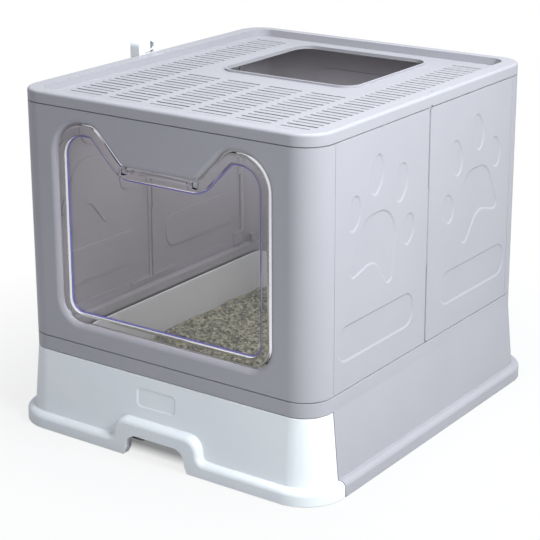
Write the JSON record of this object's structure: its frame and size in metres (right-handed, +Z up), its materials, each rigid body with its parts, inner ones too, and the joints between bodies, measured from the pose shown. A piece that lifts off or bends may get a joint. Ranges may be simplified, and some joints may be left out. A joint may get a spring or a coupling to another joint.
{
  "type": "foldable litter box",
  "caption": "Covered cat litter box with folding walls, a swing door, a slotted lid with a way out, a pull-out litter drawer and a hanging scoop.",
  "frame": {"origin": "on the floor under the middle of the walls", "axes": "+X to the right as seen from the front, +Y to the back, +Z up"},
  "size_m": [0.4651, 0.4992, 0.424],
  "materials": {
    "grey_plastic": "fine satin texture",
    "white_plastic": "smooth",
    "clear_plastic": "clear, polished",
    "litter": "loose granules",
    "pin_plastic": "moulded"
  },
  "bodies": {
    "base": {"base_frame": "grey_plastic", "back_panel": "grey_plastic", "rear_left_pin": "pin_plastic", "rear_right_pin": "pin_plastic", "keeper_left": "grey_plastic", "keeper_right": "grey_plastic"},
    "rear_left_wall": {"rear_left_panel": "grey_plastic", "mid_left_pin": "pin_plastic", "wall_catch_left": "grey_plastic"},
    "front_left_wall": {"front_left_panel": "grey_plastic"},
    "front_wall": {"front_panel": "grey_plastic", "front_left_pin": "pin_plastic", "front_right_pin": "pin_plastic", "door_pin_left": "pin_plastic", "door_pin_right": "pin_plastic"},
    "rear_right_wall": {"rear_right_panel": "grey_plastic", "mid_right_pin": "pin_plastic", "wall_catch_right": "grey_plastic"},
    "front_right_wall": {"front_right_panel": "grey_plastic"},
    "door": {"door": "clear_plastic"},
    "lid": {"lid": "grey_plastic", "scoop_hook": "grey_plastic"},
    "scoop": {"scoop": "white_plastic"},
    "drawer": {"drawer_tray": "white_plastic", "litter_bed": "litter"}
  },
  "joints": [
    {"name": "wall_fold", "type": "hinge", "parent": "base", "child": "rear_left_wall", "pos_m": [-0.2, 0.195, 0.2], "axis": [0, 0, 1], "range_deg": [0, 78]},
    {"name": "left_mid", "type": "hinge", "parent": "rear_left_wall", "child": "front_left_wall", "pos_m": [-0.2045, 0, 0.2], "axis": [0, 0, 1], "range_deg": [-156, 0]},
    {"name": "left_front", "type": "hinge", "parent": "front_left_wall", "child": "front_wall", "pos_m": [-0.2, -0.195, 0.2], "axis": [0, 0, 1], "range_deg": [0, 78]},
    {"name": "right_rear", "type": "hinge", "parent": "base", "child": "rear_right_wall", "pos_m": [0.2, 0.195, 0.2], "axis": [0, 0, 1], "range_deg": [-78, 0]},
    {"name": "right_mid", "type": "hinge", "parent": "rear_right_wall", "child": "front_right_wall", "pos_m": [0.2045, 0, 0.2], "axis": [0, 0, 1], "range_deg": [0, 156]},
    {"name": "door_swing", "type": "hinge", "parent": "front_wall", "child": "door", "pos_m": [0, -0.2275, 0.3315], "axis": [-1, 0, 0], "range_deg": [-80, 80]},
    {"name": "lid_lift", "type": "slide", "parent": "base", "child": "lid", "axis": [0, 0, 1], "range_m": [0, 0.2]},
    {"name": "scoop_pull", "type": "slide", "parent": "lid", "child": "scoop", "axis": [-1, 0, 0], "range_m": [0, 0.06]},
    {"name": "drawer_slide", "type": "slide", "parent": "base", "child": "drawer", "axis": [0, -1, 0], "range_m": [0, 0.33]}
  ],
  "couplings": [
    {"joint": "left_mid", "follows": "wall_fold", "ratio": -2},
    {"joint": "left_front", "follows": "wall_fold", "ratio": 1},
    {"joint": "right_rear", "follows": "wall_fold", "ratio": -1},
    {"joint": "right_mid", "follows": "wall_fold", "ratio": 2}
  ]
}
